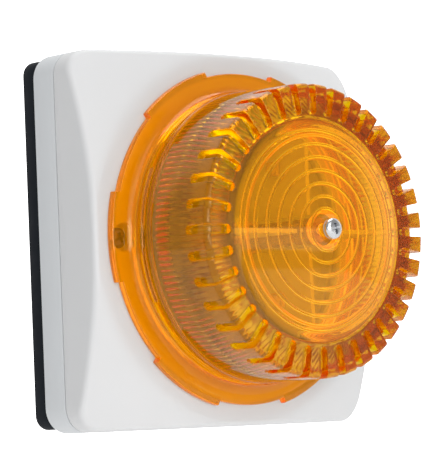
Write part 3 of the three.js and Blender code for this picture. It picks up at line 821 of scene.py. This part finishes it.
# seal cord in the parting line
def ring_stack(half_out, r_out, half_in, r_in, d0, d1, n=10, e=0.12):
    o1, o2, o3 = outline(half_out - e, r_out - e, n), outline(half_out, r_out, n), outline(half_out - e, r_out - e, n)
    i1, i2, i3 = outline(half_in + e, r_in + e, n), outline(half_in, r_in, n), outline(half_in + e, r_in + e, n)
    dm = (d0 + d1) / 2
    loops = [(o1, d0), (o2, dm), (o3, d1), (i3, d1), (i2, dm), (i1, d0)]
    m = len(o1)
    v = np.zeros((m, len(loops), 3))
    for j, (ring, d) in enumerate(loops):
        v[:, j, :2] = ring
        v[:, j, 2] = d
    return v.reshape(-1, 3), torus_faces(m, len(loops))


v, f = ring_stack(69.45, 8.95, 67.7, 7.2, 20.2, 20.58)
new_object("seal_cord", v, f, "base", M["rubber"], sharp=50, replaces=("housing_seal",))
v, f = revolve_closed([(49.2, 39.7), (51.0, 39.7), (51.1, 40.0), (50.9, 40.9), (50.1, 41.12), (49.3, 40.9), (49.0, 40.0)], 128)
new_object("seal_lens", v, f, "cover", M["silicone"], sharp=60, replaces=("lens_seal",))

# ---------------------------------------------------------------------------
# Screws
# ---------------------------------------------------------------------------


def cross_tool(headR, headH, d):
    """A cross-recess cutter with tapered wings, at the head's seat depth d."""
    w0, w1 = headR * 0.10, headR * 0.15
    l0, l1 = headR * 0.30, headR * 0.62
    lo, hi = d + headH * 0.18, d + headH + 0.4
    parts = []
    for ang in (0, 90):
        v = []
        for (l, w, z) in ((l0, w0, lo), (l1, w1, hi)):
            for sx, sy in ((1, 1), (-1, 1), (-1, -1), (1, -1)):
                x, y = sx * l, sy * w
                a = math.radians(ang)
                v.append((x * math.cos(a) - y * math.sin(a), x * math.sin(a) + y * math.cos(a), z))
        f = [(3, 2, 1, 0), (4, 5, 6, 7)] + [(i, (i + 1) % 4, (i + 1) % 4 + 4, i + 4) for i in range(4)]
        parts.append((np.array(v), f))
    return parts


def make_screw(name, x, y, d, headR, headH, shankR, length, body, replaces, pitch=0.7, spin=0.0, n=48, finish="steel"):
    """Pan head on a shank with thread grooves (rings), recess cut into the head."""
    pr = [(0, headH), (headR * 0.35, headH * 0.985), (headR * 0.62, headH * 0.91), (headR * 0.82, headH * 0.76), (headR * 0.94, headH * 0.56), (headR, headH * 0.36), (headR, 0.12), (headR - 0.12, 0.0), (shankR + 0.15, 0), (shankR, -0.2)]
    z = -1.0
    while z > -length + 1.4:
        pr += [(shankR, z), (shankR - 0.28, z - pitch * 0.35), (shankR - 0.28, z - pitch * 0.5), (shankR, z - pitch * 0.85)]
        z -= pitch
    pr += [(shankR - 0.1, -length + 0.7), (shankR * 0.6, -length), (0, -length)]
    v, f = revolve_axis(pr, n)
    v = v + np.array([0, 0, d])
    ob = temp(v, f, name)
    for pv, pf in cross_tool(headR, headH, d):
        boolean(ob, temp(pv, pf, "tool"))
    me = ob.data
    rot = Matrix.Rotation(-math.radians(spin), 4, "Y")
    me.transform(Matrix.Translation(Vector((x * MM, 0, y * MM))) @ rot)
    finish_piece(ob, body, M[finish], sharp=35, replaces=replaces)
    return ob


make_screw("screw_lens", 0, 0, 91.1, 3.9, 2.15, 2.0, 23.1, "lens_screw", ("lens_screw",), spin=12)
make_screw("screw_cover_left", -57.2, 0, 36.7, 3.7, 2.3, 2.0, 21, "cover_screw_left", ("cover_screw_left",), pitch=1.2, spin=20, finish="dull")
make_screw("screw_cover_right", 57.2, 0, 36.7, 3.7, 2.3, 2.0, 21, "cover_screw_right", ("cover_screw_right",), pitch=1.2, spin=70, finish="dull")
v, f = revolve_closed([(2.4, 90.1), (3.5, 90.1), (3.7, 90.25), (3.7, 90.9), (3.5, 91.05), (2.4, 91.05)], 48)
new_object("washer_lens_screw", v, f, "lens", M["silicone"], sharp=40, replaces=("lens_screw_washer",))

# ---------------------------------------------------------------------------
# Light engine
# ---------------------------------------------------------------------------
v, f = revolve_closed([(5.2, 39.0), (45.0, 39.0), (45.3, 39.3), (45.3, 43.3), (45.0, 43.6), (43.9, 43.6), (43.5, 43.3), (42.7, 41.6), (42.0, 41.1), (41.0, 41.0), (5.4, 41.0), (5.2, 40.8)], 144)
base_ob = temp(v, f, "light_base_dish")
for sx in (-1, 1):
    for sy in (-1, 1):
        boolean(base_ob, cyl(3.0, 19.9, 39.5, sx * 25, sy * 13, 32), "UNION")
finish_piece(base_ob, "base", M["reflector"], sharp=32, replaces=("light_base",))

CAD_MATS = {
    "main_board": "green", "network_jack": "black", "terminal_block": "tgreen", "terminal_screw_left": "steel", "terminal_screw_right": "steel",
    "reset_switch": "black", "reset_button": "button", "processor": "black", "transformer": "core", "relay": "relay",
    "capacitor_large": "sleeve", "capacitor_small": "sleeve", "inductor": "copper", "lens_post": "brass", "post_screw": "steel",
}
for name, ob in N.items():
    key = CAD_MATS.get(name)
    if key is None:
        if name.startswith("led_board"):
            key = "boardwhite"
        elif name.startswith("led_connector"):
            key = "reflector"
        elif name.startswith("led_"):
            key = "led"
        elif "screw" in name:
            key = "steel"
        else:
            continue
    ob.data.materials.clear()
    ob.data.materials.append(M[key])

# ---------------------------------------------------------------------------
# Floor and light
# ---------------------------------------------------------------------------


def make_floor():
    m, nt, p, out = new_material("floor_pale")
    v = coords(nt)
    nt.links.new(ramp(nt, noise(nt, v, 3, 3), [(0.3, (0.955, 0.955, 0.955)), (0.7, (0.975, 0.975, 0.975))]), p.inputs["Base Color"])
    p.inputs["Roughness"].default_value = 0.9
    p.inputs["Specular IOR Level"].default_value = 0.1
    me = bpy.data.meshes.new("floor")
    z = -0.20
    me.from_pydata([(-1.5, -1.5, z), (1.5, -1.5, z), (1.5, 1.5, z), (-1.5, 1.5, z)], [], [(0, 1, 2, 3)])
    me.materials.append(m)
    ob = bpy.data.objects.new("floor", me)
    SC.collection.objects.link(ob)


make_floor()


def area(name, loc, target, size, power, colour=(1, 1, 1), shape="RECTANGLE", size_y=None):
    li = bpy.data.lights.new(name, "AREA")
    li.shape = shape
    li.size = size
    li.size_y = size_y or size
    li.energy = power
    li.color = colour
    ob = bpy.data.objects.new(name, li)
    ob.location = loc
    ob.rotation_euler = (Vector(target) - Vector(loc)).to_track_quat("-Z", "Y").to_euler()
    SC.collection.objects.link(ob)
    return ob


world = bpy.data.worlds.new("studio")
SC.world = world
world.use_nodes = True
wn = world.node_tree
for n in list(wn.nodes):
    wn.nodes.remove(n)
w_out = wn.nodes.new("ShaderNodeOutputWorld")
bg = wn.nodes.new("ShaderNodeBackground")
wn.links.new(bg.outputs["Background"], w_out.inputs["Surface"])
bg.inputs["Color"].default_value = (1, 1, 1, 1)
# a bright backdrop behind the object, dimmer studio towards its left and front
w_tc = wn.nodes.new("ShaderNodeTexCoord")
w_dot = wn.nodes.new("ShaderNodeVectorMath")
w_dot.operation = "DOT_PRODUCT"
w_dot.inputs[1].default_value = (0.656, 0.753, 0.05)
wn.links.new(w_tc.outputs["Generated"], w_dot.inputs[0])
w_mr = wn.nodes.new("ShaderNodeMapRange")
w_mr.interpolation_type = "SMOOTHSTEP"
w_mr.inputs["From Min"].default_value = 0.15
w_mr.inputs["From Max"].default_value = 0.60
w_mr.inputs["To Min"].default_value = 0.36
w_mr.inputs["To Max"].default_value = 1.04
wn.links.new(w_dot.outputs["Value"], w_mr.inputs["Value"])
# the backdrop itself is plain white from every side
w_lp = wn.nodes.new("ShaderNodeLightPath")
w_mx = wn.nodes.new("ShaderNodeMath")
w_mx.operation = "MULTIPLY_ADD"
w_mx.inputs[1].default_value = 1.04
wn.links.new(w_lp.outputs["Is Camera Ray"], w_mx.inputs[0])
wn.links.new(w_mr.outputs["Result"], w_mx.inputs[2])
wn.links.new(w_mx.outputs["Value"], bg.inputs["Strength"])


def polar(az, el, dist):
    a, e = math.radians(az), math.radians(el)
    return (dist * math.sin(a) * math.cos(e), -dist * math.cos(a) * math.cos(e), dist * math.sin(e))


area("key", polar(-14, 21, 2.2), (0, 0, 0), 1.6, 11.0, size_y=1.6)
area("fill", polar(-22, 4.5, 1.6), (0, 0, -0.01), 1.2, 4.5, size_y=0.3)
area("top", (0.2, -0.1, 1.9), (0, -0.05, 0), 1.5, 17.0)
area("card", polar(17.5, 1.0, 1.5), (0, 0, 0), 1.42, 0.75, size_y=0.16)

SC.view_settings.view_transform = "Standard"
SC.view_settings.look = "None"
